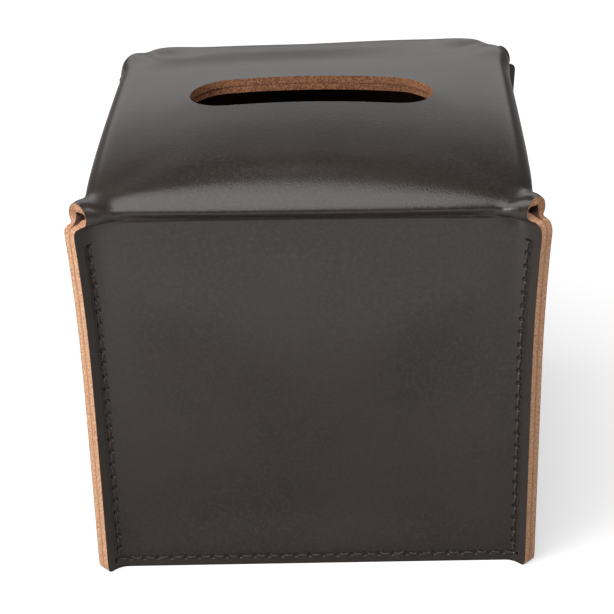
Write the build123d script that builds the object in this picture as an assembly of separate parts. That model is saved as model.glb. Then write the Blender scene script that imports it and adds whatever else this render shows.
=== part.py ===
from build123d import *

import os
from math import asin, cos, degrees, floor, radians, sin, sqrt

# Leather tissue box cover: one cross-cut hide with pinched corner seams and a hinged base flap.
# Millimetres, +Z up. The origin is the centre of the footprint, on the surface it stands on.
# The front, the side with the stitched lower edge, faces -Y.

# ---- leather and body -------------------------------------------------------------------
leather = 2.4            # thickness of the cover leather
wall_half = 67.2         # from the centre to the outer face of a wall
fold_height = 124.5      # height of the crease where a wall turns into the top
crown_rise = 14.5        # from that crease up to the middle of the pillow-shaped top
crown_radius = 390.0     # radius of the shallow dome of the top

# ---- corner seams -----------------------------------------------------------------------
bend_radius = 4.0        # outer radius where a wall turns out into its seam flange
seam_gap = 0.2           # glue line left open between the two layers of a flange
flange_reach = 3.8       # how far the outermost corner of a flange stands past a wall
flange_flare = 1.6       # how much further it stands out at the top
flare_length = 52.0      # length over which it flares, down from its top end
flange_drop = 2.5        # from the crease down to the top end of a flange

# ---- soft roll between the top and each wall --------------------------------------------
roll_radius = 20.0       # radius of the roll at the middle of a side
roll_steep = 66.0        # slope of the roll where it meets the crease, degrees
roll_shallow = 10.0      # slope at which the roll is lost under the dome, degrees
corner_round = 6.0       # plan radius of the body's corner at the crease
corner_draw = 4.0        # how far the top of a corner is drawn in

# ---- relief loop where the cut-outs of the cross end ------------------------------------
loop_radius = 4.5        # outer radius of the loop of raw edge
loop_rise = 0.5          # from the crease up to its centre
loop_setback = 3.2       # how far its rim stays behind the flange edge
loop_root = 6.0          # how far behind the body's corner the leather is drawn out from
loop_root_radius = 6.5   # radius of the leather there, before it is drawn out to the loop
loop_root_drop = 3.0     # how much lower than the loop its centre is there

# ---- slot and its doubled leather -------------------------------------------------------
slot_length = 80.0
slot_width = 24.0
reinforcement_margin = 12.0   # width of the doubled leather round the slot
glue_line = 0.15              # between the two leathers

# ---- base flap, its sewn hem and the rear closing strip ---------------------------------
base_leather = 2.4       # thickness of the base leathers
base_rise = 5.2          # from the lower edge of the walls to the underside of the flap
hem_bend = 1.5           # inner radius of the turned-down hems
hem_end_clearance = 3.8  # from the end of a hem to the inner face of the side wall
flap_side_clearance = 1.2
flap_end_clearance = 1.2
hinge_gap = 0.1          # between the hem's end and the flap, at the bending line
flap_corner = 8.0        # plan radius of the free corners of the flap and the strip
strip_depth = 24.0       # how far the closing strip reaches in from the rear wall

# ---- snap fasteners ---------------------------------------------------------------------
snap_half_spacing = 36.0
snap_cap_radius = 6.2
snap_cap_height = 1.2
snap_cap_edge = 0.7      # slope of the cap's rim
snap_post_radius = 1.8
snap_post_clearance = 0.1
socket_radius = 5.8
socket_height = 2.6
socket_floor = 0.6
stud_head_radius = 3.0
stud_head_clearance = 0.15
stud_head_height = 1.4
stud_flange_radius = 5.6
stud_flange_height = 0.8
stud_float = 0.2         # between the closed socket and the flange of the stud
eyelet_radius = 4.6
eyelet_height = 0.6

# ---- stitches ---------------------------------------------------------------------------
stitch_pitch = 4.5
stitch_length = 3.5
stitch_width = 0.8
stitch_height = 0.4
corner_inset_low = 3.3   # from the cut edge of a flange to its stitches, at the lower end
corner_inset_high = 4.7  # the same at the upper end
corner_seam_low = 5.5    # height of the lowest corner stitch
corner_seam_end = 4.5    # unsewn end of a flange above its highest stitch
hem_seam_height = 3.2    # from the lower edge of the walls to the hem stitches
hem_seam_end = 1.0       # unsewn end of a hem

# ---- worked out -------------------------------------------------------------------------
diagonal = 1 / sqrt(2)
inner_half = wall_half - leather
crown_height = fold_height + crown_rise
tip_half_low = wall_half + flange_reach
tip_half_high = tip_half_low + flange_flare
flange_height = fold_height - flange_drop
flare_start = flange_height - flare_length
loop_centre = fold_height + loop_rise
half_gap = seam_gap / 2
layer_face = half_gap + leather           # from a flange's middle plane to its outer face
bend_start = wall_half - (sqrt(2) - 1) * bend_radius - sqrt(2) * layer_face
hem_reach = base_leather + hem_bend       # from the wall to the end of a hem's bend
hem_half = inner_half - hem_end_clearance
flap_top = base_rise + base_leather
flap_front = -inner_half + hem_reach + hinge_gap
flap_rear = inner_half - base_leather - flap_end_clearance
flap_half = inner_half - flap_side_clearance
strip_underside = flap_top + socket_height + stud_float + stud_flange_height
strip_top = strip_underside + base_leather
snap_y = inner_half - (hem_reach + strip_depth) / 2


def edge_distance(height):
    """Distance from the centre, along the diagonal, to a flange's cut edge at a height."""
    low = tip_half_low * sqrt(2) - layer_face
    if height <= flare_start:
        return low
    rise = flange_height - flare_start
    flare = (tip_half_high - tip_half_low) * sqrt(2)
    flare_radius = (rise ** 2 + flare ** 2) / (2 * flare)
    return low + flare_radius - sqrt(flare_radius ** 2 - (height - flare_start) ** 2)


def at_corner(shape, corner):
    """Turn a shape made along +X to one of the four corners: 0 front right, then anticlockwise."""
    return shape.rotate(Axis.Z, 90 * corner - 45)


# ---- walls and their flanges ------------------------------------------------------------
def panel_face():
    """Plan section of the front wall with a flange layer at each end, longer than needed."""
    front = -wall_half
    back = -inner_half
    centre_y = front - bend_radius
    inner_radius = bend_radius + leather
    tip = tip_half_high

    def on_bend(radius, angle):
        return (bend_start + radius * sin(radians(angle)), centre_y + radius * cos(radians(angle)))

    def on_flange(distance, offset):
        return ((distance - offset) * diagonal, (-distance - offset) * diagonal)

    def mirrored(point):
        return (-point[0], point[1])

    far = tip * sqrt(2)
    half = [
        ("line", (0, front), (bend_start, front)),
        ("arc", (bend_start, front), on_bend(bend_radius, 22.5), on_bend(bend_radius, 45)),
        ("line", on_bend(bend_radius, 45), on_flange(far, layer_face)),
        ("line", on_flange(far, layer_face), on_flange(far, half_gap)),
        ("line", on_flange(far, half_gap), on_bend(inner_radius, 45)),
        ("arc", on_bend(inner_radius, 45), on_bend(inner_radius, 22.5), (bend_start, back)),
        ("line", (bend_start, back), (0, back)),
    ]
    edges = []
    for kind, *points in half:
        for side in (points, [mirrored(point) for point in points]):
            edges.append(Line(*side) if kind == "line" else ThreePointArc(*side))
    return make_face(Curve() + edges)


def flare_envelope():
    """Slab that trims two opposite flanges, lying along X, to their flared cut edges."""
    middle = (flare_start + flange_height) / 2
    foot = (edge_distance(0), 0)
    knee = (edge_distance(0), flare_start)
    top = (edge_distance(flange_height), flange_height)
    right = Curve() + [
        Line((0, 0), foot),
        Line(foot, knee),
        ThreePointArc(knee, (edge_distance(middle), middle), top),
        Line(top, (0, flange_height)),
    ]
    outline = right + right.mirror(Plane.YZ)
    return extrude(Plane.XZ * make_face(outline), amount=2 * wall_half, both=True)


def walls():
    """The four wall panels of the cross, which only the top joins."""
    panel = extrude(panel_face(), amount=flange_height)
    envelope = flare_envelope()
    panel = panel & at_corner(envelope, 0)
    panel = panel & at_corner(envelope, 1)
    return [panel.rotate(Axis.Z, 90 * quarter) for quarter in range(4)]


# ---- pillow-shaped top ------------------------------------------------------------------
def bowed_outline(half, middle, rounding, height):
    """Square outline with rounded corners whose sides bow in to the distance middle."""
    end = half - rounding
    knee = rounding * (1 - diagonal)
    side = Bezier((-end, -half), (0, half - 2 * middle), (end, -half))
    corner = ThreePointArc((end, -half), (half - knee, -half + knee), (half, -end))
    edges = []
    for quarter in range(4):
        edges.append(side.rotate(Axis.Z, 90 * quarter))
        edges.append(corner.rotate(Axis.Z, 90 * quarter))
    return Pos(0, 0, height) * make_face(Curve() + edges)


def dome_ball(radius):
    """Ball on the centre of the dome, its poles turned to the sides, away from the top."""
    return Pos(0, 0, crown_height - crown_radius) * Rot(90, 0, 0) * Sphere(radius)


def crown_form(inset):
    """Solid form of the top above the flanges, drawn in by inset on every side."""
    half = wall_half - inset
    rounding = corner_round - inset
    radius = roll_radius - inset
    roll_centre_y = wall_half - roll_radius * sin(radians(roll_steep))
    roll_centre_z = fold_height - roll_radius * cos(radians(roll_steep))
    steep = degrees(asin((half - roll_centre_y) / radius))
    steps = 4
    sections = []
    for step in range(steps + 1):
        share = step / steps
        slope = radians(steep + (roll_shallow - steep) * share)
        middle = roll_centre_y + radius * sin(slope)
        height = roll_centre_z + radius * cos(slope)
        sections.append(bowed_outline(half - corner_draw * share, middle, rounding, height))
    fold = roll_centre_z + radius * cos(radians(steep))
    start = flange_height - inset
    band = extrude(bowed_outline(half, half, rounding, start), amount=fold - start)
    roll = loft(sections) + extrude(sections[-1], amount=crown_height - height)
    return band + (roll & dome_ball(crown_radius - inset))


def relief_loop():
    """Corner of the top drawn out to a loop of raw edge, made along +X, and its opening.

    The opening is the relief hole and, below it, the slit between the two leathers.
    """
    root = wall_half * sqrt(2) - corner_round * (sqrt(2) - 1) - loop_root
    rim = edge_distance(flange_height) - loop_setback
    start = Plane((root, 0, loop_centre), x_dir=(0, 1, 0), z_dir=(1, 0, 0))
    root_face = Pos(0, 0, -loop_root_drop) * start * Circle(loop_root_radius)
    rim_face = start.offset(rim - root) * Circle(loop_radius)
    length = 2 * (rim - root)
    hole = extrude(start * Circle(loop_radius - leather), amount=length)
    slit_face = start * Pos(0, -loop_radius / 2) * Rectangle(seam_gap, loop_radius)
    slit = extrude(slit_face, amount=length)
    return loft([root_face, rim_face], ruled=True), hole + slit


def slot_tool():
    """Upright stadium prism that cuts the dispensing slot through both leathers."""
    return extrude(Pos(0, 0, fold_height) * SlotOverall(slot_length, slot_width), amount=crown_height)


def cover():
    """The one-piece hide: top, four walls, flanges, relief loops and slot."""
    loop, hole = relief_loop()
    body = crown_form(0)
    for corner in range(4):
        body += at_corner(loop, corner)
    body -= crown_form(leather)
    for wall in walls():
        body += wall
    for corner in range(4):
        body -= at_corner(hole, corner)
    return body - slot_tool()


def slot_reinforcement():
    """Second leather glued under the top round the slot, bent to the same dome."""
    length = slot_length + 2 * reinforcement_margin
    width = slot_width + 2 * reinforcement_margin
    blank = extrude(Pos(0, 0, fold_height) * SlotOverall(length, width), amount=crown_height)
    upper = crown_radius - leather - glue_line
    sheet = (blank & dome_ball(upper)) - dome_ball(upper - leather)
    return sheet - slot_tool()


# ---- base -------------------------------------------------------------------------------
def hem_section(underside, reach):
    """Section of a turned-down hem against the rear wall, in Y and Z; reach is from the wall."""
    wall = inner_half
    inner = wall - base_leather
    bend_z = underside - hem_bend
    outer_bend = hem_reach
    knee = sin(radians(45))
    centre = (inner - hem_bend, bend_z)
    edges = [
        Line((wall, 0), (wall, bend_z)),
        ThreePointArc((wall, bend_z), (centre[0] + outer_bend * knee, bend_z + outer_bend * knee),
                      (centre[0], underside + base_leather)),
        Line((inner, bend_z), (inner, 0)),
        Line((inner, 0), (wall, 0)),
        ThreePointArc((centre[0], underside), (centre[0] + hem_bend * knee, bend_z + hem_bend * knee),
                      (inner, bend_z)),
    ]
    if reach > hem_reach:
        edges.append(Line((centre[0], underside + base_leather), (wall - reach, underside + base_leather)))
        edges.append(Line((wall - reach, underside), (centre[0], underside)))
    edges.append(Line((wall - reach, underside + base_leather), (wall - reach, underside)))
    return Plane.YZ * make_face(Curve() + edges)


def base_flap_hem():
    """Front edge of the base leather, turned down and sewn inside the front wall."""
    hem = extrude(hem_section(base_rise, hem_reach), amount=hem_half, both=True)
    return hem.rotate(Axis.Z, 180)


def snap_spots():
    return [Pos(side * snap_half_spacing, snap_y, 0) for side in (-1, 1)]


def disc(radius, low, high):
    return Pos(0, 0, low) * Cylinder(radius, high - low, align=(Align.CENTER, Align.CENTER, Align.MIN))


def rear_closing_strip():
    """Leather strip sewn inside the rear wall; the flap snaps to its underside."""
    strip = extrude(hem_section(strip_underside, strip_depth), amount=hem_half, both=True)
    free_edges = strip.edges().filter_by(Axis.Z).group_by(Axis.Y)[0]
    strip = fillet(free_edges, flap_corner)
    for spot in snap_spots():
        strip -= spot * disc(snap_post_radius + snap_post_clearance, strip_underside, strip_top)
    return strip


def base_flap():
    """Base leather behind its bending line: the floor of the box, which swings down."""
    depth = flap_rear - flap_front
    centre = Pos(0, flap_front + depth / 2, base_rise + base_leather / 2)
    plate = centre * Box(2 * flap_half, depth, base_leather)
    plate = fillet(plate.edges().filter_by(Axis.Z).group_by(Axis.Y)[-1], flap_corner)
    for spot in snap_spots():
        plate -= spot * disc(snap_post_radius + snap_post_clearance, base_rise, flap_top)
    return plate


# ---- snaps ------------------------------------------------------------------------------
def snap_cap():
    """Cap with a sloping rim under the flap, and its post, which ends inside the socket."""
    cap = disc(snap_cap_radius, base_rise - snap_cap_height, base_rise)
    cap = chamfer(cap.edges().sort_by(Axis.Z)[0], snap_cap_edge)
    return cap + disc(snap_post_radius, base_rise, flap_top + socket_floor)


def snap_socket():
    """Socket on the flap, a cup that takes the head of the stud."""
    cup = disc(socket_radius, flap_top, flap_top + socket_height)
    cup -= disc(stud_head_radius + stud_head_clearance, flap_top + socket_floor, flap_top + socket_height)
    return cup - disc(snap_post_radius, flap_top, flap_top + socket_floor)


def snap_stud():
    """Stud under the closing strip, with its flange and the head that enters the socket."""
    flange_low = strip_underside - stud_flange_height
    stud = disc(stud_flange_radius, flange_low, strip_underside)
    stud += disc(stud_head_radius, flange_low - stud_head_height, flange_low)
    return stud - disc(snap_post_radius, flange_low, strip_underside)


def snap_eyelet():
    """Eyelet that holds the stud from above the closing strip."""
    post = disc(snap_post_radius, strip_underside - stud_flange_height, strip_top)
    return post + disc(eyelet_radius, strip_top, strip_top + eyelet_height)


def at_both_snaps(piece):
    return Compound(children=[spot * piece for spot in snap_spots()])


# ---- stitches ---------------------------------------------------------------------------
def corner_seam(corner):
    """Stitches that show on both faces of one corner flange."""
    count = floor((flange_height - corner_seam_end - corner_seam_low) / stitch_pitch) + 1
    stitch = Box(stitch_width, stitch_height, stitch_length)
    lowest_edge = edge_distance(0)
    whole_flare = edge_distance(flange_height) - lowest_edge
    stitches = []
    for number in range(count):
        height = corner_seam_low + number * stitch_pitch
        flare_share = (edge_distance(height) - lowest_edge) / whole_flare
        inset = corner_inset_low + (corner_inset_high - corner_inset_low) * flare_share
        for side in (-1, 1):
            place = Pos(edge_distance(height) - inset, side * (layer_face + stitch_height / 2), height)
            stitches.append(at_corner(place * stitch, corner))
    return Compound(children=stitches)


def hem_seam(front):
    """Stitches along the lower edge of the front or rear wall, outside and inside its hem."""
    count = 2 * floor((hem_half - hem_seam_end) / stitch_pitch) + 1
    outside = wall_half + stitch_height / 2
    inside = inner_half - base_leather - stitch_height / 2
    stitch = Box(stitch_length, stitch_height, stitch_width)
    side = -1 if front else 1
    stitches = []
    for number in range(count):
        across = (number - (count - 1) / 2) * stitch_pitch
        for distance in (outside, inside):
            stitches.append(Pos(across, side * distance, hem_seam_height) * stitch)
    return Compound(children=stitches)


pieces = {
    "cover": cover(),
    "slot_reinforcement": slot_reinforcement(),
    "base_flap_hem": base_flap_hem(),
    "base_flap": base_flap(),
    "rear_closing_strip": rear_closing_strip(),
    "snap_caps": at_both_snaps(snap_cap()),
    "snap_sockets": at_both_snaps(snap_socket()),
    "snap_studs": at_both_snaps(snap_stud()),
    "snap_eyelets": at_both_snaps(snap_eyelet()),
    "front_right_seam_thread": corner_seam(0),
    "rear_right_seam_thread": corner_seam(1),
    "rear_left_seam_thread": corner_seam(2),
    "front_left_seam_thread": corner_seam(3),
    "front_hem_thread": hem_seam(True),
    "rear_hem_thread": hem_seam(False),
}

os.makedirs("parts", exist_ok=True)
for name, piece in pieces.items():
    export_step(piece, f"parts/{name}.step")
    print(name, len(piece.solids()), "solids", round(piece.volume, 1), "mm3")
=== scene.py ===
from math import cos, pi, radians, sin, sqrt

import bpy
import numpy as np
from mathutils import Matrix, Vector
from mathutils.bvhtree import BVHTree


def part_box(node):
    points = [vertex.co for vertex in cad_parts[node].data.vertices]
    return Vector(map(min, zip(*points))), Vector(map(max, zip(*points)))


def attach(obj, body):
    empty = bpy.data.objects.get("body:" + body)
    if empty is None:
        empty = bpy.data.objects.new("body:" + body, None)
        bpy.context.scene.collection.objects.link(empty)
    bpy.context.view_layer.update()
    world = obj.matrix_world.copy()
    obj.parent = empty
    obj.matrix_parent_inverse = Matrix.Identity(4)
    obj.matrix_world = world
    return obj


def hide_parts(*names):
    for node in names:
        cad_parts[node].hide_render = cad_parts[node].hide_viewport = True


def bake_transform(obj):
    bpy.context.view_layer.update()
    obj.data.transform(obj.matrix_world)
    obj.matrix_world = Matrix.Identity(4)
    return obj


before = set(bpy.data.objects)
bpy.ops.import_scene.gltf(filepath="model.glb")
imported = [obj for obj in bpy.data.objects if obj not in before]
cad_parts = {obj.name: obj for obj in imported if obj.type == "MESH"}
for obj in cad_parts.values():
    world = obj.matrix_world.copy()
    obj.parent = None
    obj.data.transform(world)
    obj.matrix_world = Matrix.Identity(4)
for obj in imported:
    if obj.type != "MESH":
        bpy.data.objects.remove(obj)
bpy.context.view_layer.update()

# %% [markdown]
# # Leather tissue box cover
# A square cover for use on a table, folded from one cross-shaped hide. Neighbouring walls are sewn
# wrong sides together, so each upright corner is a thin flange with two raw cut edges. The top
# puffs up like a pillow and has an oblong slot with a doubled edge.
#
# Lengths are in millimetres until a mesh is made. Heights and widths that the CAD part fixes are
# read from its nodes, so that every piece lies where the part has it.

MM = 0.001


def node_box(name):
    """Lowest and highest corner of a CAD node in millimetres."""
    low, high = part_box(name)
    return np.array(low) / MM, np.array(high) / MM


_, cover_high = node_box("cover")
flap_low, flap_high = node_box("base_flap")
hem_low, hem_high = node_box("base_flap_hem")
strip_low, strip_high = node_box("rear_closing_strip")
_, lining_high = node_box("slot_reinforcement")

leather = flap_high[2] - flap_low[2]            # every leather has the same thickness
wall_half = -hem_low[1] + leather               # the hem lies against the inside of the front wall
tip_half_high = cover_high[0]                   # outermost corner of a flange at the top
fold_height = 124.5                             # crease between a wall and the top
crown_height = 139.0
crown_radius = 390.0
print("wall_half", round(wall_half, 2), "leather", round(leather, 2), "tip", round(tip_half_high, 2))

# %% [markdown]
# ## Seam flanges
# A flange is two leathers glued and sewn flesh to flesh. It follows a soft bend out of each wall
# and then runs straight out on the diagonal. It widens towards the top, where the hide pulls.

# %% Shape of a flange
bend_radius = 4.0
seam_gap = 0.06                                  # the glue fills the seam
tip_half_low = tip_half_high - 1.6
flange_height = 122.0
flare_start = 70.0
layer_face = seam_gap / 2 + leather
bend_start = wall_half - (sqrt(2) - 1) * bend_radius - sqrt(2) * layer_face
bend_length = bend_radius * pi / 4
bend_end_x = bend_start + bend_radius * sin(pi / 4)
bend_end_y = -wall_half - bend_radius * (1 - cos(pi / 4))
bend_end_u = (bend_end_x - bend_end_y) / sqrt(2)


def edge_distance(height):
    """Distance along the diagonal from the centre to a flange's cut edge."""
    low = tip_half_low * sqrt(2) - layer_face
    rise = flange_height - flare_start
    flare = (tip_half_high - tip_half_low) * sqrt(2)
    radius = (rise ** 2 + flare ** 2) / (2 * flare)
    above = np.clip(height - flare_start, 0, rise)
    return low + radius - np.sqrt(radius ** 2 - above ** 2)


def wall_section(along, height):
    """Plan position on the outer face of the front wall, by arc length from its middle."""
    beyond = np.clip(along - bend_start, 0, bend_length)
    angle = beyond / bend_radius
    straight = np.clip(along - bend_start - bend_length, 0, None)
    x = np.minimum(along, bend_start) + bend_radius * np.sin(angle) + straight / sqrt(2)
    y = -wall_half - bend_radius * (1 - np.cos(angle)) - straight / sqrt(2)
    return x, y


def half_length(height):
    """Arc length from the middle of a wall to its cut edge."""
    return bend_start + bend_length + edge_distance(height) - bend_end_u


# %% [markdown]
# ## The cage of the hide
# The hide is one sheet: a square top grid whose four sides carry the wall grids. At each corner
# the two cut edges part and close again over a relief hole, which makes a loop of raw edge. The
# cage lines run round that loop, and a subdivision surface then rounds the whole sheet as bent
# leather rounds itself.

# %% Lines of the cage
plain_lines = np.array([0, 8, 16, 24, 32, 39.5, 46.5, 52.5, 57.5, 61.0])
last_plain = len(plain_lines) - 1
edge_lines = 4                                   # further lines from there to the cut edge
half_count = last_plain + edge_lines             # 13 cells from the middle to a cut edge
wall_rows = np.array([0, 4, 14, 27, 41, 55, 69, 82, 94, 104, 111.5, 117, 120.2, 121.9])
shoulder_round = 0.6                             # the top end of a flange is rounded off by this
crease_rows = np.array([122.1, 122.3, 122.5, 122.7, 122.9])
loop_angles = np.array([1.0, 0.85, 0.62, 0.31, 0.0])     # share of the way from crest to neck
roll_first = 8                                   # first grid line of the soft roll
roll_angles = np.radians([0, 25, 48, 70, 92])
top_lines = np.array([0, 8, 16, 24, 32, 39.5, 46.5, 52.5, 57, 60.2, 62.8, 64.8, 66.3, 67.2])

# %% [markdown]
# ### Relief loops
# Where two arms of the cross meet, a hole is cut so that the leather closes into a corner without
# creasing. Sewn up, its rim stands open as a small loop over the flange. Here the loop is an
# ellipse, and its rings widen and sink as they run back into the top.

# %% Relief loop at a corner
loop_centre = fold_height + 0.5
loop_rim = edge_distance(flange_height) - 3.8    # set back behind the edge of the flange
loop_half_width, loop_half_height = 4.5, 4.4
loop_widening, loop_drop = 0.66, 0.10            # for each millimetre inwards from the rim
loop_rings, loop_fade = 7.0, 5.0                 # rings that the loop draws out, and its fading
loop_reach = np.array([0, 1.4, 3.2, 5.4, 8.0, 11.5, 15])
crest_angles = np.radians([0, 34, 56, 70, 80, 86, 90])
neck_angle = radians(142)


def loop_point(ring, angle):
    """Point on the drawn-out corner: ring counts from the rim inwards, angle from its crest."""
    reach = np.interp(ring, np.arange(len(loop_reach)), loop_reach)
    half_width = loop_half_width + loop_widening * reach
    height = loop_centre - loop_drop * reach + loop_half_height * cos(angle)
    return np.array([loop_rim - reach, half_width * sin(angle), height])


def corner_to_front(point):
    """From (out, sideways, up) at the front right corner to x, y, z; sideways is to the front."""
    out, side, up = point
    return np.array([(out - side) / sqrt(2), (-out - side) / sqrt(2), up])


def loop_weight(ring):
    """How much a cage point this many rings from the rim belongs to the loop."""
    share = np.clip((loop_rings - ring) / loop_fade, 0, 1)
    return share * share * (3 - 2 * share)


# %% Body positions
def dome(x, y):
    return crown_height - crown_radius + np.sqrt(crown_radius ** 2 - x ** 2 - y ** 2)


crease_tuck = 0.5
sags = {                                          # bulge, depth, flatness, valley, widest height, crease
    "front": (2.0, 12.5, 1.5, 1.3, 124.9, 122.9),
    "side": (1.2, 6.5, 1.05, -0.3, 125.4, 123.1),
    "rear": (1.0, 7.0, 1.15, -0.6, 126.0, 123.3),
}
corner_sag = (0.0, 5.5, 1.2, 0.0, 125.3, 123.1)   # what all of them have at a corner
corner_halves = {13: 66.7, 12: 67.0, 11: 66.2, 10: 65.0, 9: 63.6, 8: 62.2}   # where rolls meet
corner_power = 26                                 # high, so the plan is a square with soft corners

# The top is fuller towards its rear corners: a lift that grows with the height and outwards, and
# next to the corners a shift outwards to the side, outwards to the back, and up.
rear_lift, rear_lift_low, rear_lift_rise, rear_lift_half = 3.4, 125.5, 6, 60
rear_corner_shift = np.array([1.8, -0.6, 3.0])
rear_corner_start, rear_corner_reach = 108, 16    # sum of the distances to the right and back
rear_corner_low, rear_corner_rise = 123.2, 3


def top_point(k, l, wall="front"):
    """Body position of grid crossing k, l (both counted from the middle, l towards the wall)."""
    if k > l:
        x, y, z = top_point(l, k, "side")
        return np.array([-y, -x, z])
    corner_half = corner_halves.get(l, top_lines[l])
    share = top_lines[k] / top_lines[l] if l else 0
    x = corner_half * share
    middle = 1 - share ** 2
    blended = [c + (s - c) * middle for s, c in zip(sags[wall], corner_sag)]
    _, depth, flatness, valley, widest, crease = blended
    if l < roll_first:
        y = top_lines[l]
        z = dome(x, y)
    else:
        outermost = wall_half + sags[wall][0] * (1 - share ** 4)
        inner = outermost - depth
        if l < half_count:
            angle = roll_angles[l - roll_first]
            y = inner + depth * sin(angle) ** flatness
            crest = dome(x, inner) - valley
            z = widest + (crest - widest) * max(cos(angle), 0) ** flatness
        else:
            y = wall_half - crease_tuck
            z = crease
    near_roll = l >= roll_first - 2
    rounding = (1 + share ** corner_power) ** (-1 / corner_power) if near_roll else 1
    return np.array([x * rounding, -y * rounding, z])


def top_vertex(k, l, wall="front"):
    """Grid crossing with the drawn-out corner worked in."""
    body = top_point(k, l, wall)
    if wall == "rear":
        above = np.clip((body[2] - rear_lift_low) / rear_lift_rise, 0, 1)
        right, back = body[0] / rear_lift_half, body[1] / rear_lift_half
        body[2] += rear_lift * above * right ** 2 * back ** 2
        outer = np.clip((body[0] + abs(body[1]) - rear_corner_start) / rear_corner_reach, 0, 1)
        above = np.clip((body[2] - rear_corner_low) / rear_corner_rise, 0, 1)
        body = body + outer * above * rear_corner_shift
    near = max(half_count - k, half_count - l)
    weight = loop_weight(near)
    if weight == 0:
        return body
    lean = 0 if near == 0 else ((half_count - k) - (half_count - l)) / near
    crest = np.interp(near, np.arange(len(crest_angles)), crest_angles)
    return (1 - weight) * body + weight * corner_to_front(loop_point(near, lean * crest))


def wall_vertex(column, row, wall="front"):
    """Vertex of the right half of a wall, turned to the front; column counts from the middle."""
    if row < len(wall_rows):
        height = wall_rows[row]
    else:
        height = crease_rows[row - len(wall_rows)]
    length = half_length(min(height, flange_height))
    if row == len(wall_rows) - 1:
        length = length - shoulder_round
    if column <= last_plain:
        along = plain_lines[column]
    else:
        share = (column - last_plain) / edge_lines
        along = plain_lines[-1] + (length - plain_lines[-1]) * share
    x, y = wall_section(along, height)
    if row < len(wall_rows):
        return np.array([x, y, height])
    step = row - len(wall_rows)
    if row == len(wall_rows) + len(crease_rows) - 1:
        body = top_point(column, half_count, wall)
    else:
        body = np.array([x, y, height])
        top = top_point(column, half_count, wall)
        pull = (step + 1) / len(crease_rows)
        body = body + (top - body) * pull ** 2
    ring = half_count - column
    weight = loop_weight(ring * (1.6 - 0.6 * (step + 1) / len(crease_rows)))
    if weight == 0:
        return body
    crest = np.interp(ring, np.arange(len(crest_angles)), crest_angles)
    angle = crest + (neck_angle - crest) * loop_angles[step]
    drawn = (1 - weight) * body + weight * corner_to_front(loop_point(ring, angle))
    drawn[2] = max(drawn[2], 122.1 + 0.2 * step)
    return drawn


# %% Joining the cage
def build_cage():
    vertices, faces, index = [], [], {}

    def add(key, point):
        if key not in index:
            index[key] = len(vertices)
            vertices.append(point)
        return index[key]

    def turned(point, quarter):
        x, y, z = point
        for _ in range(quarter):
            x, y = -y, x
        return (x, y, z)

    def top_key(i, j):
        point = top_vertex(abs(i), abs(j), "rear" if j > 0 else "front")
        point = slot_vertex(abs(i), abs(j), point)
        return add(("top", i, j), (abs(point[0]) * np.sign(i), abs(point[1]) * np.sign(j), point[2]))

    n = half_count
    for i in range(-n, n):
        for j in range(-n, n):
            if -slot_k <= i < slot_k and -slot_l <= j < slot_l:
                continue
            faces.append([top_key(i, j), top_key(i + 1, j), top_key(i + 1, j + 1), top_key(i, j + 1)])
    total_rows = len(wall_rows) + len(crease_rows)

    def wall_key(quarter, i, row):
        if row == total_rows - 1:
            edge = turned((i, -n, 0), quarter)
            return top_key(edge[0], edge[1])
        x, y, z = wall_vertex(abs(i), row, ("front", "side", "rear", "side")[quarter])
        return add(("wall", quarter, i, row), turned((x * (-1 if i < 0 else 1), y, z), quarter))

    for quarter in range(4):
        for i in range(-n, n):
            for row in range(total_rows - 1):
                faces.append([wall_key(quarter, i, row), wall_key(quarter, i + 1, row),
                              wall_key(quarter, i + 1, row + 1), wall_key(quarter, i, row + 1)])
    return np.array(vertices), faces


def mesh_object(name, points, faces):
    mesh = bpy.data.meshes.new(name)
    mesh.from_pydata([tuple(p * MM) for p in np.asarray(points, float)], [], faces)
    mesh.update()
    piece = bpy.data.objects.new(name, mesh)
    bpy.context.scene.collection.objects.link(piece)
    return piece


def baked(piece):
    """Turn the modifiers of a piece into its mesh."""
    graph = bpy.context.evaluated_depsgraph_get()
    mesh = bpy.data.meshes.new_from_object(piece.evaluated_get(graph))
    piece.modifiers.clear()
    piece.data = mesh
    return piece


# %% [markdown]
# ## Dispensing slot
# The slot is punched through the top and through a second leather glued under it, so its edge
# shows two raw layers. The grid lines next to the slot are moved onto its outline.

# %% Slot outline and the grid round it
slot_half, slot_radius = 40.0, 12.0
slot_k, slot_l = 5, 2                             # grid lines that become the slot's outline
slot_straight = slot_half - slot_radius


def slot_outline(angle):
    """Point of the stadium outline by angle at its right-hand centre, from the long axis."""
    return slot_straight + slot_radius * cos(angle), slot_radius * sin(angle)


def slot_vertex(k, l, point):
    """Move a grid crossing on the edge of the opening onto the outline of the slot."""
    x, y, z = point
    if k == slot_k and l <= slot_l:
        x, y = slot_outline(radians(45) * l / slot_l)
    elif l == slot_l and k == slot_k - 1:
        x, y = slot_outline(radians(70))
    elif l == slot_l and k <= slot_k - 2:
        x, y = slot_straight * k / (slot_k - 2), slot_radius
    else:
        return point
    return np.array([x, -y, dome(x, y)])


# %% The hide
cage_points, cage_faces = build_cage()
cover = mesh_object("cover_hide", cage_points, cage_faces)
smooth = cover.modifiers.new("smooth", "SUBSURF")
smooth.levels = smooth.render_levels = 2
baked(cover)
print("hide", len(cover.data.vertices), "points", len(cover.data.polygons), "faces")


# %% [markdown]
# ## Thickness and raw edges
# The sheet gets its thickness on the flesh side. The faces round its border are the raw edges,
# which a small bevel takes the sharpness off, as burnishing does.

# %% From sheet to leather
def read_points(mesh):
    points = np.zeros(len(mesh.vertices) * 3)
    mesh.vertices.foreach_get("co", points)
    return points.reshape(-1, 3) / MM


edge_round = 0.18


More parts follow.
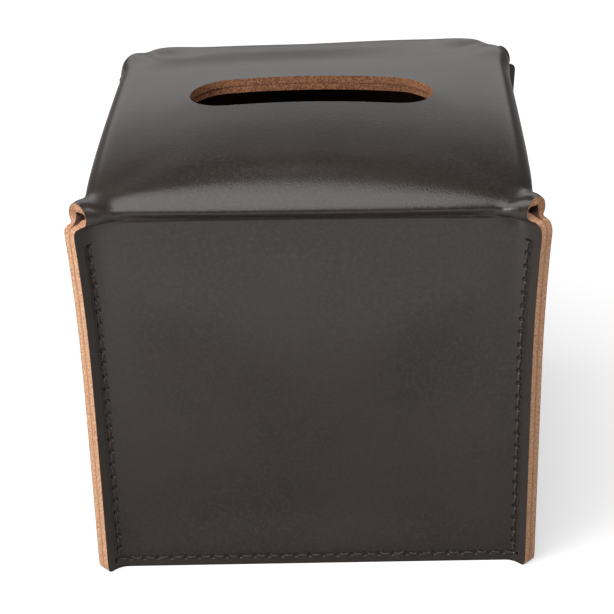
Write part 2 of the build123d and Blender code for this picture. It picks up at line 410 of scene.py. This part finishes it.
def make_leather(piece):
    """Give a sheet its finishes and thickness: grain outside, flesh inside, raw edge round it."""
    for material in hide_materials:
        piece.data.materials.append(material)
    sheet_count = len(piece.data.vertices)
    thick = piece.modifiers.new("thick", "SOLIDIFY")
    thick.thickness = leather * MM
    thick.offset = -1
    thick.use_even_offset = False
    thick.material_offset = 1
    thick.material_offset_rim = 2
    baked(piece)
    depth = piece.data.attributes.new("depth", "FLOAT", "POINT")
    share = np.ones(len(piece.data.vertices), np.float32)
    share[:sheet_count] = 0
    depth.data.foreach_set("value", share)
    bevel = piece.modifiers.new("bevel", "BEVEL")
    bevel.width = edge_round * MM
    bevel.segments = 2
    bevel.limit_method = "ANGLE"
    bevel.angle_limit = radians(60)
    baked(piece)
    for polygon in piece.data.polygons:
        polygon.use_smooth = True
    piece.modifiers.new("weighted", "WEIGHTED_NORMAL")    # wide faces set the narrow rim's shading
    baked(piece)


def dress(piece, nodes, body):
    """Hide the CAD nodes that a piece stands for, hang it on the body it rides on and print its faces.
    """
    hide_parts(*nodes)
    if body:
        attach(piece, body)
    print(piece.name, len(piece.data.polygons), "faces")


# %% [markdown]
# ## Finishes
# Every finish is worked out from the position on the object and from the attributes that the
# pieces carry, with no image on it; the darkness in the stitch holes is painted shade. The leather
# is drum-dyed dark brown with a satin top coat. Its cut edges were left undyed, and show tan
# fibres that get darker towards the flesh side.

# %% Short calls for node trees
class Graph:
    """Adds nodes to a tree; an input takes a value or another node's output."""

    def __init__(self, tree):
        self.tree = tree

    def put(self, socket, value):
        if isinstance(value, bpy.types.NodeSocket):
            self.tree.links.new(value, socket)
        else:
            socket.default_value = value

    def add(self, kind, settings=None, inputs=None):
        node = self.tree.nodes.new(kind)
        for name, value in (settings or {}).items():
            setattr(node, name, value)
        for name, value in (inputs or {}).items():
            self.put(node.inputs[name], value)
        return node

    def math(self, operation, a, b=0.0, clamp=False):
        node = self.add("ShaderNodeMath", {"operation": operation, "use_clamp": clamp}, {0: a, 1: b})
        return node.outputs[0]

    def rise(self, value, low, high):
        """0 below low, 1 above high, smooth between them."""
        node = self.add("ShaderNodeMapRange", {"interpolation_type": "SMOOTHSTEP"},
                        {"Value": value, "From Min": low, "From Max": high})
        return node.outputs[0]

    def noise(self, vector, scale, detail=3.0, roughness=0.5):
        inputs = {"Vector": vector, "Scale": scale, "Detail": detail, "Roughness": roughness}
        return self.add("ShaderNodeTexNoise", {}, inputs).outputs[0]

    def blend(self, share, first, second):
        node = self.add("ShaderNodeMix", {"data_type": "RGBA"}, {0: share, 6: first, 7: second})
        return node.outputs[2]

    def attribute(self, name):
        return self.add("ShaderNodeAttribute", {"attribute_name": name}).outputs["Fac"]

    def bump(self, height, distance, strength=1.0, normal=None):
        inputs = {"Strength": strength, "Distance": distance, "Height": height}
        if normal is not None:
            inputs["Normal"] = normal
        return self.add("ShaderNodeBump", {}, inputs).outputs[0]


def new_finish(name):
    material = bpy.data.materials.new(name)
    material.use_nodes = True
    graph = Graph(material.node_tree)
    shader = material.node_tree.nodes["Principled BSDF"]
    position = graph.add("ShaderNodeTexCoord").outputs["Object"]
    return material, graph, shader, position


def colour(red, green, blue):
    return (red, green, blue, 1.0)


# %% [markdown]
# ### Leather grain
# The top coat is even, with a fine pebble of about half a millimetre and a faint change of shade
# where the dye took differently. Each stitch hole presses a small pit into the leather and is
# darkened with painted shade, and the thread's tension draws a shallow trough along the row.

# %% Grain side
pitch, stitch_length = 4.5, 3.4
corner_seam_low, corner_stitches, seam_inset = 5.5, 25, 4.7
hem_seam_height = 3.2
hem_outside, hem_inside = 14, 13                 # hem stitches to each side of the middle one


def seam_marks(graph, along, across, first, last):
    """Trough depth and hole mask, for pits and painted shade, of one kind of stitch row."""
    inside = graph.math("MULTIPLY", graph.rise(along, first - 2.6, first - 1.9),
                        graph.rise(graph.math("SUBTRACT", last, along), -2.6, -1.9))
    aside = graph.math("ABSOLUTE", across)
    trough = graph.math("MULTIPLY", inside, graph.rise(aside, 2.2, 0.2))
    phase = graph.math("SUBTRACT", graph.math("FLOORED_MODULO", along, pitch), pitch / 2)
    spread = graph.math("ADD", graph.math("POWER", graph.math("ABSOLUTE", phase), 2.0),
                        graph.math("POWER", aside, 2.0))
    hole_pit_and_shade = graph.math("MULTIPLY", inside, graph.rise(spread, 1.0, 0.25))
    return trough, hole_pit_and_shade


grain, graph, shader, position = new_finish("leather_grain")
corner_marks = seam_marks(graph, graph.attribute("corner_along"), graph.attribute("corner_across"),
                          0.0, pitch * (corner_stitches - 1))
hem_marks = seam_marks(graph, graph.attribute("hem_along"), graph.attribute("hem_across"),
                       -pitch * hem_outside, pitch * hem_outside)
trough = graph.math("MAXIMUM", corner_marks[0], hem_marks[0])
hole_pit_and_shade = graph.math("MAXIMUM", corner_marks[1], hem_marks[1])
shade = graph.noise(position, 22.0, 4.0, 0.55)
freckle = graph.noise(position, 900.0, 2.0)
pebble = graph.add("ShaderNodeTexVoronoi", {"feature": "SMOOTH_F1"},
                   {"Vector": position, "Scale": 1500.0, "Smoothness": 0.4}).outputs[0]
wrinkle = graph.noise(graph.add("ShaderNodeVectorMath", {"operation": "MULTIPLY"},
                                {0: position, 1: (1.0, 1.0, 0.45)}).outputs[0], 260.0, 4.0, 0.6)
grain_colour = graph.blend(graph.rise(shade, 0.35, 0.68),
                  colour(0.0200, 0.0145, 0.0118), colour(0.0275, 0.0205, 0.0170))
grain_colour = graph.blend(graph.rise(freckle, 0.4, 0.75), grain_colour, colour(0.033, 0.0250, 0.0205))
# Painted shade: the stitch holes are darkened almost to black.
grain_colour = graph.blend(graph.math("MULTIPLY", hole_pit_and_shade, 0.9), grain_colour, colour(0.008, 0.006, 0.005))
graph.put(shader.inputs["Base Color"], grain_colour)
worn = graph.math("ADD", graph.math("MULTIPLY", shade, 0.10), 0.225)
graph.put(shader.inputs["Roughness"], graph.math("ADD", worn, graph.math("MULTIPLY", freckle, 0.06)))
relief = graph.math("SUBTRACT", graph.math("MULTIPLY", wrinkle, 0.08), trough)
soft = graph.bump(relief, 0.00035, 0.7)
pits = graph.bump(graph.math("MULTIPLY", hole_pit_and_shade, -1.0), 0.0006, 0.8, soft)
graph.put(shader.inputs["Normal"], graph.bump(pebble, 0.00012, 0.26, pits))

# %% [markdown]
# ### Cut edges, flesh side and metal
# The cut edge shows the hide's section: a thin dark grain line, then tan fibres, denser and
# darker towards the flesh side, where two leathers meet in a line of glue. The slot's edge was
# rubbed with a little dye and is redder. The flesh side is brown suede. The snaps are pressed
# from brass that has dulled unevenly, and the thread is waxed, so it has a low sheen.

# %% Edge, suede, snap and thread finishes
raw_edge, graph, shader, position = new_finish("leather_raw_edge")
depth = graph.attribute("depth")
fibre = graph.noise(position, 1700.0, 4.0, 0.65)
clump = graph.noise(position, 380.0, 3.0)
tan = graph.blend(graph.rise(fibre, 0.38, 0.60), colour(0.42, 0.18, 0.085), colour(0.74, 0.46, 0.29))
tan = graph.blend(graph.math("MULTIPLY", graph.rise(clump, 0.45, 0.65), 0.6),
                  tan, colour(0.62, 0.33, 0.17))
core = graph.math("ADD", depth, graph.math("MULTIPLY", graph.math("SUBTRACT", fibre, 0.5), 1.8))
tan = graph.blend(graph.rise(core, 0.84, 1.2), tan, colour(0.27, 0.105, 0.045))
tan = graph.blend(graph.rise(depth, 0.09, 0.02), tan, colour(0.12, 0.07, 0.045))
rubbed = graph.blend(graph.rise(fibre, 0.38, 0.62),
                     colour(0.15, 0.052, 0.022), colour(0.36, 0.155, 0.068))
height = graph.add("ShaderNodeSeparateXYZ", {}, {0: position}).outputs[2]
tan = graph.blend(graph.math("MULTIPLY", graph.rise(height, 0.118, 0.124), 0.45), tan, rubbed)
tan = graph.blend(graph.rise(height, 0.1305, 0.132), tan, rubbed)
graph.put(shader.inputs["Base Color"], tan)
shader.inputs["Roughness"].default_value = 0.78
graph.put(shader.inputs["Normal"], graph.bump(graph.math("ADD", fibre, clump), 0.0003, 0.9))

flesh, graph, shader, position = new_finish("leather_flesh")
nap = graph.noise(position, 1100.0, 4.0, 0.7)
cloud = graph.noise(position, 60.0, 3.0)
suede = graph.blend(graph.rise(cloud, 0.35, 0.65),
                    colour(0.145, 0.082, 0.066), colour(0.172, 0.100, 0.081))
suede = graph.blend(graph.math("MULTIPLY", graph.rise(nap, 0.4, 0.7), 0.4),
                    suede, colour(0.27, 0.17, 0.14))
graph.put(shader.inputs["Base Color"], suede)
shader.inputs["Roughness"].default_value = 0.9
graph.put(shader.inputs["Normal"], graph.bump(nap, 0.00025, 0.7))

metal, graph, shader, position = new_finish("snap_brass")
haze = graph.noise(position, 700.0, 4.0)
brass = graph.blend(graph.rise(haze, 0.35, 0.7), colour(0.50, 0.44, 0.35), colour(0.30, 0.25, 0.19))
graph.put(shader.inputs["Base Color"], brass)
shader.inputs["Metallic"].default_value = 1.0
graph.put(shader.inputs["Roughness"], graph.math("ADD", graph.math("MULTIPLY", haze, 0.25), 0.2))
graph.put(shader.inputs["Normal"], graph.bump(haze, 0.00005, 0.3))

thread_finish, graph, shader, position = new_finish("waxed_thread")
lint = graph.noise(position, 2600.0, 3.0)
wax = graph.blend(graph.rise(lint, 0.35, 0.7), colour(0.022, 0.015, 0.013), colour(0.075, 0.045, 0.038))
graph.put(shader.inputs["Base Color"], wax)
shader.inputs["Roughness"].default_value = 0.38
graph.put(shader.inputs["Normal"], graph.bump(lint, 0.00006, 0.6))
hide_materials = [grain, flesh, raw_edge]
make_leather(cover)

# %% [markdown]
# ## How the sewn hide settles
# Thick leather that is bent and sewn isn't flat. Under the crease each wall swells a little, in the
# shape of a V that hangs from the two loops; lower down it is slightly hollow, and the front's
# foot spreads forwards, more on the left. At the top the front right loop is pushed in, the rear
# loops are tucked in and down, the right rear corner stands higher and the rear edge of the top
# sits lower on the left. One field of shifts moves the hide, the base and the stitches, so that
# they stay together.

# %% Seam attributes and the field of shifts
def step_up(value, low, high):
    share = np.clip((value - low) / (high - low), 0, 1)
    return share * share * (3 - 2 * share)


flat_half = 62                                    # half of a wall between its flanges' bends
crest_middle, crest_rise, crest_spread = 76, 34, 26    # the V: height, rise to the sides, spread


def wall_swell(along, height, swell, hollow, lean):
    """Shift outwards of one wall, from the position along it and the height."""
    aside = np.clip(np.abs(along) / flat_half, 0, 1)
    crest = crest_middle + crest_rise * aside ** 1.5
    below = np.exp(-((height - crest) / crest_spread) ** 2)
    above = step_up(fold_height - height, 0, fold_height - crest)
    shift = swell * np.where(height > crest, above, below) * (1 - aside ** 3)
    sideways = np.clip(np.abs(along - lean) / flat_half, 0, 1)
    depth = step_up(height, 1, 20) * (1 - 0.8 * step_up(height, 60, 116))
    return shift - hollow * depth * (1 - sideways ** 3.5) * (1 - aside ** 6)


# Swell, hollow and sideways place of the hollow for the front, right, rear and left wall.
wall_moods = ((2.8, 2.9, -4.0), (1.5, 0.9, 5.0), (1.8, 1.2, 8.0), (1.4, 1.0, -9.0))
# Shifts of the corners and the foot.
front_loop_push = 0.7
rear_loop_tuck, rear_loop_sink = 1.2, 2.0
right_rear_rise, left_rear_drop = 2.2, 1.6
foot_spread, foot_slant = 1.7, 1.1                # in the middle, and what the right side has less
corner_from, corner_to = 84, 95                   # where a corner begins, along its diagonal


def settled(points):
    """Points in millimetres after the shifts."""
    points = np.array(points, float)
    x, y, z = points.T.copy()
    for quarter, (swell, hollow, lean) in enumerate(wall_moods):
        outwards = (-y, x, y, -x)[quarter]
        along = (x, y, -x, -y)[quarter]
        near = step_up(outwards, 54, 62) * (z < fold_height)
        shift = near * wall_swell(along, z, swell, hollow, lean)
        points[:, 1 - quarter % 2] += shift * (-1, 1, 1, -1)[quarter]
    front = step_up((x - y) / sqrt(2), corner_from, corner_to) * step_up(z, 118, 123)
    points[:, 0] -= front * front_loop_push
    points[:, 1] += front * front_loop_push
    rear = step_up((np.abs(x) + y) / sqrt(2), corner_from, corner_to) * step_up(z, 117, 123)
    points[:, 0] -= rear * rear_loop_tuck * np.sign(x)
    points[:, 1] -= rear * rear_loop_tuck
    points[:, 2] -= rear * rear_loop_sink
    points[:, 2] += right_rear_rise * step_up((x + y) / sqrt(2), 83, 92) * step_up(z, 70, 122)
    left = step_up(x, -70, -54) * (1 - step_up(x, -10, 45))
    points[:, 2] -= left_rear_drop * left * step_up(y, 26, 55) * step_up(z, 124, 129)
    foot = (1 - np.clip(z / fold_height, 0, 1)) ** 1.5
    slanted = foot_spread - foot_slant * np.clip(x, -72, 72) / 60
    points[:, 1] -= foot * slanted * step_up(-y, 20, 64)
    return points


def settle(piece):
    moved = settled(read_points(piece.data)) * MM
    piece.data.vertices.foreach_set("co", moved.ravel())
    piece.data.update()


def add_values(piece, name, values):
    attribute = piece.data.attributes.new(name, "FLOAT", "POINT")
    attribute.data.foreach_set("value", np.asarray(values, np.float32))


cover_points = read_points(cover.data)
across_x, across_y = np.abs(cover_points[:, 0]), np.abs(cover_points[:, 1])
heights = cover_points[:, 2]
from_edge = edge_distance(heights) - (across_x + across_y) / sqrt(2)
add_values(cover, "corner_across", from_edge - seam_inset)
add_values(cover, "corner_along", heights - corner_seam_low)
# The side walls have no hem row, so they get a value far from one.
add_values(cover, "hem_across", np.where(across_y > across_x, heights - hem_seam_height, 90))
add_values(cover, "hem_along", cover_points[:, 0])
settle(cover)
dress(cover, ["cover"], "box")

# %% [markdown]
# ## Doubled leather round the slot
# A stadium-shaped ring is glued under the top, with the same curve as the dome.

# %% Slot lining
glue_line = 0.15
lining_margin = lining_high[0] - slot_half


def stadium(offset, share):
    """Point of a stadium round the slot, offset outwards; share runs once round."""
    radius = slot_radius + offset
    straight = 2 * slot_straight
    arc = pi * slot_radius
    along = share * (2 * straight + 2 * arc)
    if along < straight:
        return along - slot_straight, -radius
    along -= straight
    if along < arc:
        angle = -pi / 2 + along / slot_radius
        return slot_straight + radius * cos(angle), radius * sin(angle)
    along -= arc
    if along < straight:
        return slot_straight - along, radius
    angle = pi / 2 + (along - straight) / slot_radius
    return -slot_straight + radius * cos(angle), radius * sin(angle)


def lining_sheet():
    around, across = 128, 7
    points, faces = [], []
    for ring in range(across):
        for step in range(around):
            x, y = stadium(lining_margin * ring / (across - 1), step / around)
            points.append((x, y, dome(x, y) - leather - glue_line))
    for ring in range(across - 1):
        for step in range(around):
            here, after = ring * around + step, ring * around + (step + 1) % around
            faces.append([here, here + around, after + around, after])
    return mesh_object("slot_lining", points, faces)


lining = lining_sheet()
make_leather(lining)
dress(lining, ["slot_reinforcement"], "box")

# %% [markdown]
# ## Base leather and closing strip
# The base is one leather. Its front edge is turned down and sewn inside the front wall, and the
# rest lies flat and swings down. A shorter strip is sewn inside the rear wall in the same way.

# %% Sheets with a turned-down hem
hem_bend = 1.5
flap_corner = 8.0


def hemmed_sheet(name, top, reach, hem_half, flat_half):
    """Sheet sewn inside the front wall: up from the standing surface, round a bend, then flat."""
    outer_bend = hem_bend + leather
    inner = wall_half - leather
    path = [(-inner, z) for z in np.linspace(0, top - outer_bend, 4)]
    for angle in np.radians([15, 30, 45, 60, 75, 90]):
        path.append((-inner + outer_bend * (1 - cos(angle)), top - outer_bend * (1 - sin(angle))))
    hem_count = len(path)
    flat_end = -inner + reach
    steps = np.linspace(0, 1, 37)[1:]
    path += [(-inner + outer_bend + (reach - outer_bend) * step, top) for step in steps]
    across = 48
    points, faces = [], []
    for number, (y, z) in enumerate(path):
        half = hem_half if number < hem_count else flat_half
        corner = max(0.0, y - (flat_end - flap_corner))
        half = half - flap_corner + sqrt(max(flap_corner ** 2 - corner ** 2, 0)) if corner else half
        for step in range(across + 1):
            points.append((half * (2 * step / across - 1), y, z))
    for number in range(len(path) - 1):
        for step in range(across):
            here = number * (across + 1) + step
            faces.append([here, here + 1, here + across + 2, here + across + 1])
    return mesh_object(name, points, faces)


inner_half = wall_half - leather
base_reach, strip_reach = flap_high[1] + inner_half, inner_half - strip_low[1]
base = hemmed_sheet("base_leather", flap_high[2], base_reach, hem_high[0], flap_high[0])
make_leather(base)
settle(base)
dress(base, ["base_flap_hem", "base_flap"], None)
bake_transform(base)

strip = hemmed_sheet("rear_strip", strip_high[2], strip_reach, strip_high[0], strip_high[0])
strip.data.transform(Matrix.Rotation(pi, 4, "Z"))
make_leather(strip)
dress(strip, ["rear_closing_strip"], "box")

# %% [markdown]
# ## Stitches
# The seams are sewn by hand with waxed two-ply thread. Each stitch lies on the leather for about
# 3.4 mm and dives into the holes at its ends. One node group lays the same twisted stitch on a row
# of points, turned along the seam and away from the leather, with a small random slant.

# %% Stitch group
def stitch_group():
    tree = bpy.data.node_groups.new("stitch_row", "GeometryNodeTree")
    for name, kind in (("Geometry", "Geometry"), ("Length", "Float"), ("Thread radius", "Float"),
                       ("Twist radius", "Float"), ("Dive", "Float"), ("Slant", "Vector"),
                       ("Seed", "Int"), ("Thread", "Material")):
        tree.interface.new_socket(name, in_out="INPUT", socket_type="NodeSocket" + kind)
    tree.interface.new_socket("Geometry", in_out="OUTPUT", socket_type="NodeSocketGeometry")
    group = Graph(tree)
    given = group.add("NodeGroupInput").outputs
    half = group.math("DIVIDE", given["Length"], 2.0)
    ply = group.add("GeometryNodeCurveSpiral", {}, {"Resolution": 8, "Rotations": 2.0,
                    "Start Radius": given["Twist radius"], "End Radius": given["Twist radius"],
                    "Height": given["Length"]}).outputs[0]
    turned = group.add("GeometryNodeTransform", {},
                       {"Geometry": ply, "Rotation": (0, 0, pi)}).outputs[0]
    plies = group.add("GeometryNodeJoinGeometry").inputs[0]
    tree.links.new(ply, plies)
    tree.links.new(turned, plies)
    place = group.add("GeometryNodeInputPosition").outputs[0]
    height = group.add("ShaderNodeSeparateXYZ", {}, {0: place})
    middle = group.math("SUBTRACT", height.outputs[2], half)
    share = group.math("ABSOLUTE", group.math("DIVIDE", middle, half))
    down = group.math("MULTIPLY", given["Dive"], -1.0)
    drop = group.math("MULTIPLY", group.math("POWER", share, 3.0), down)
    back = group.math("MULTIPLY", half, -1.0)
    offset = group.add("ShaderNodeCombineXYZ", {}, {0: drop, 2: back}).outputs[0]
    laid = group.add("GeometryNodeSetPosition", {},
                     {"Geometry": plies.node.outputs[0], "Offset": offset})
    round_profile = group.add("GeometryNodeCurvePrimitiveCircle", {}, {"Resolution": 6,
                              "Radius": given["Thread radius"]}).outputs[0]
    strand = group.add("GeometryNodeCurveToMesh", {}, {"Curve": laid.outputs[0],
                       "Profile Curve": round_profile, "Fill Caps": True}).outputs[0]
    vector = {"data_type": "FLOAT_VECTOR"}
    along = group.add("GeometryNodeInputNamedAttribute", vector, {"Name": "along"})
    away = group.add("GeometryNodeInputNamedAttribute", vector, {"Name": "away"})
    aim = group.add("FunctionNodeAxesToRotation", {"primary_axis": "Z", "secondary_axis": "X"},
                    {0: along.outputs[0], 1: away.outputs[0]}).outputs[0]
    least = group.add("ShaderNodeVectorMath", {"operation": "SCALE"},
                      {0: given["Slant"], "Scale": -1.0})
    chance = group.add("FunctionNodeRandomValue", vector,
                       {0: least.outputs[0], 1: given["Slant"], "Seed": given["Seed"]}).outputs[0]
    aim = group.add("FunctionNodeRotateRotation", {"rotation_space": "LOCAL"},
                    {0: aim, 1: chance}).outputs[0]
    rows = group.add("GeometryNodeInstanceOnPoints", {}, {"Points": given["Geometry"],
                     "Instance": strand, "Rotation": aim}).outputs[0]
    real = group.add("GeometryNodeRealizeInstances", {}, {0: rows}).outputs[0]
    smooth_real = group.add("GeometryNodeSetShadeSmooth", {}, {0: real}).outputs[0]
    done = group.add("GeometryNodeSetMaterial", {},
                     {"Geometry": smooth_real, "Material": given["Thread"]})
    group.add("NodeGroupOutput", {}, {0: done.outputs[0]})
    return tree


stitches = stitch_group()
cover_tree = BVHTree.FromObject(cover, bpy.context.evaluated_depsgraph_get())
base_tree = BVHTree.FromObject(base, bpy.context.evaluated_depsgraph_get())
strip_tree = BVHTree.FromObject(strip, bpy.context.evaluated_depsgraph_get())


thread_radius, twist_radius, stitch_dive, stitch_lift = 0.27, 0.2, 0.75, 0.12
stitch_slant = (radians(9), radians(3), radians(40))    # most that a stitch may be turned


def sew(name, rows, node, seed):
    """rows: lists of (surface, points in millimetres along the seam, one for each stitch)."""
    spots, alongs, aways = [], [], []
    for surface, points in rows:
        points = settled(points)
        ways = np.gradient(points, axis=0)
        for point, way in zip(points, ways):
            spot, normal, _, _ = surface.find_nearest(Vector(point * MM))
            spots.append(spot + normal * stitch_lift * MM)
            alongs.append(Vector(way).normalized())
            aways.append(normal)
    mesh = bpy.data.meshes.new(name)
    mesh.from_pydata(spots, [], [])
    for attribute, vectors in (("along", alongs), ("away", aways)):
        data = mesh.attributes.new(attribute, "FLOAT_VECTOR", "POINT").data
        data.foreach_set("vector", np.array(vectors, np.float32).ravel())
    piece = bpy.data.objects.new(name, mesh)
    bpy.context.scene.collection.objects.link(piece)
    row = piece.modifiers.new("stitches", "NODES")
    row.node_group = stitches
    values = {"Length": stitch_length * MM, "Thread radius": thread_radius * MM,
              "Twist radius": twist_radius * MM, "Dive": stitch_dive * MM, "Slant": stitch_slant,
              "Seed": seed, "Thread": thread_finish}
    for item in stitches.interface.items_tree:
        if item.in_out == "INPUT" and item.name in values:
            row[item.identifier] = values[item.name]
    baked(piece)
    dress(piece, [node], "box")


def quarter_turned(points, quarter):
    turn = np.array(Matrix.Rotation(quarter * pi / 2, 3, "Z"))
    return np.array(points) @ turn.T


# %% [markdown]
# ### Rows of stitches
# A corner seam shows one row on each face of its flange, and a hem one outside and one inside.
# All rows have the same pitch. Their places come from the wall's own section, so they follow the
# flare of the flange.

# %% Corner seams and hems
seam_heights = corner_seam_low + pitch * np.arange(corner_stitches)
corner_names = ("front_right", "rear_right", "rear_left", "front_left")
corner_rows = {}
xs, ys = wall_section(half_length(seam_heights) - seam_inset, seam_heights)
for quarter in range(4):
    for side, corner in ((1, corner_names[quarter]), (-1, corner_names[quarter - 1])):
        row = quarter_turned(np.stack([xs * side, ys, seam_heights], axis=1), quarter)
        corner_rows.setdefault(corner, []).append((cover_tree, row))
for number, (corner, rows) in enumerate(sorted(corner_rows.items())):
    sew(corner + "_seam_stitches", rows, corner + "_seam_thread", 11 + number)

outside_xs = pitch * np.arange(-hem_outside, hem_outside + 1)
inside_xs = pitch * np.arange(-hem_inside, hem_inside + 1)
outside = np.array([(x, wall_section(abs(x), 0)[1], hem_seam_height) for x in outside_xs])
inside = np.array([(x, -inner_half + leather, hem_seam_height) for x in inside_xs])
sew("front_hem_stitches", [(cover_tree, outside), (base_tree, inside)], "front_hem_thread", 31)
rear_rows = [(cover_tree, quarter_turned(outside, 2)), (strip_tree, quarter_turned(inside, 2))]
sew("rear_hem_stitches", rear_rows, "rear_hem_thread", 32)

# %% [markdown]
# ## Snap fasteners
# Cap and socket sit on the flap, stud and eyelet on the strip. They are turned and pressed parts
# whose shape the CAD already has, so its meshes are kept and only get the brass finish.

# %% Metal of the snaps
for node in ("snap_caps", "snap_sockets", "snap_studs", "snap_eyelets"):
    snap = bpy.data.objects[node]
    for slot in snap.material_slots:
        slot.material = metal
    print(node, len(snap.data.polygons), "faces, finish", snap.material_slots[0].material.name)

# %% [markdown]
# ## Light, floor and camera
# A catalogue set-up: white ground and back, one large soft light above on the left, whose
# reflection lies along the soft roll, a smaller one low on the left, a broad faint one behind that
# shines on the dome, and a fill on the right. The floor is white to the camera and keeps the
# shadow. To the leather, which mirrors it, it carries painted shade: it is darker round the cover
# than further out in front.

# %% Floor, light and camera
bpy.ops.mesh.primitive_plane_add(size=8, location=(0, 0, 0))
floor = bpy.context.object
floor.name = "floor"
white = bpy.data.materials.new("floor_white")
white.use_nodes = True
graph = Graph(white.node_tree)
seen = graph.add("ShaderNodeLightPath").outputs["Is Camera Ray"]
ground = graph.add("ShaderNodeTexCoord").outputs["Object"]
forwards = graph.math("MULTIPLY", graph.add("ShaderNodeSeparateXYZ", {}, {0: ground}).outputs[1], -1.0)
# Painted shade for rays that are not the camera's: the floor is darker behind the cover and up to 10 cm
# in front of it, and lighter from 30 cm out.
painted_floor_shade = graph.blend(graph.rise(forwards, 0.10, 0.30),
                       colour(0.44, 0.43, 0.42), colour(0.9, 0.9, 0.9))
shade = graph.blend(seen, painted_floor_shade, colour(0.66, 0.66, 0.66))
cloth = graph.add("ShaderNodeBsdfDiffuse", {}, {"Color": shade})
glow = graph.add("ShaderNodeEmission", {},
                 {"Color": (1, 1, 1, 1), "Strength": graph.math("MULTIPLY", seen, 0.5)})
both = graph.add("ShaderNodeAddShader", {}, {0: cloth.outputs[0], 1: glow.outputs[0]})
graph.put(white.node_tree.nodes["Material Output"].inputs["Surface"], both.outputs[0])
floor.data.materials.append(white)

world = bpy.data.worlds.new("studio")
bpy.context.scene.world = world
world.use_nodes = True
graph = Graph(world.node_tree)
room = world.node_tree.nodes["Background"]
room.inputs["Color"].default_value = (1, 1, 1, 1)
seen = graph.add("ShaderNodeLightPath").outputs["Is Camera Ray"]
graph.put(room.inputs["Strength"], graph.math("ADD", graph.math("MULTIPLY", seen, 0.85), 0.15))


def soft_light(name, place, aim, width, height, power):
    data = bpy.data.lights.new(name, "AREA")
    data.shape = "RECTANGLE"
    data.size, data.size_y, data.energy = width, height, power
    lamp = bpy.data.objects.new(name, data)
    bpy.context.scene.collection.objects.link(lamp)
    lamp.location = place
    lamp.rotation_euler = (Vector(aim) - Vector(place)).to_track_quat("-Z", "Y").to_euler()


soft_light("top_light", (-0.32, -0.36, 1.35), (0, 0, 0.1), 1.5, 1.25, 19.0)
soft_light("left_light", (-0.95, -0.75, 0.55), (0, 0, 0.06), 0.6, 0.7, 10.5)
soft_light("back_light", (-0.05, 0.95, 0.40), (0, 0, 0.13), 1.0, 0.35, 1.05)
soft_light("fill_light", (1.0, -0.75, 0.4), (0, 0, 0.06), 0.8, 0.8, 2.0)

bpy.context.scene.view_settings.view_transform = "Standard"

camera_data = bpy.data.cameras.new("camera")
camera = bpy.data.objects.new("camera", camera_data)
bpy.context.scene.collection.objects.link(camera)
bpy.context.scene.camera = camera
focal_pixels, frame_pixels, sensor = 1781.0, 614.0, 36.0
camera_data.sensor_width = sensor
camera_data.lens = focal_pixels / frame_pixels * sensor
camera_place = Vector((16.7, -548.3, 340.8)) * MM
look_down, look_aside, camera_roll = radians(27.21), radians(-2.09), radians(-1.6)
camera.matrix_world = (Matrix.Translation(camera_place)
                       @ Matrix.Rotation(-look_aside, 4, "Z")
                       @ Matrix.Rotation(pi / 2 - look_down, 4, "X")
                       @ Matrix.Rotation(camera_roll, 4, "Z"))

# %% [markdown]
# ## Last update of the scene

# %% Last update and the end
bpy.context.view_layer.update()
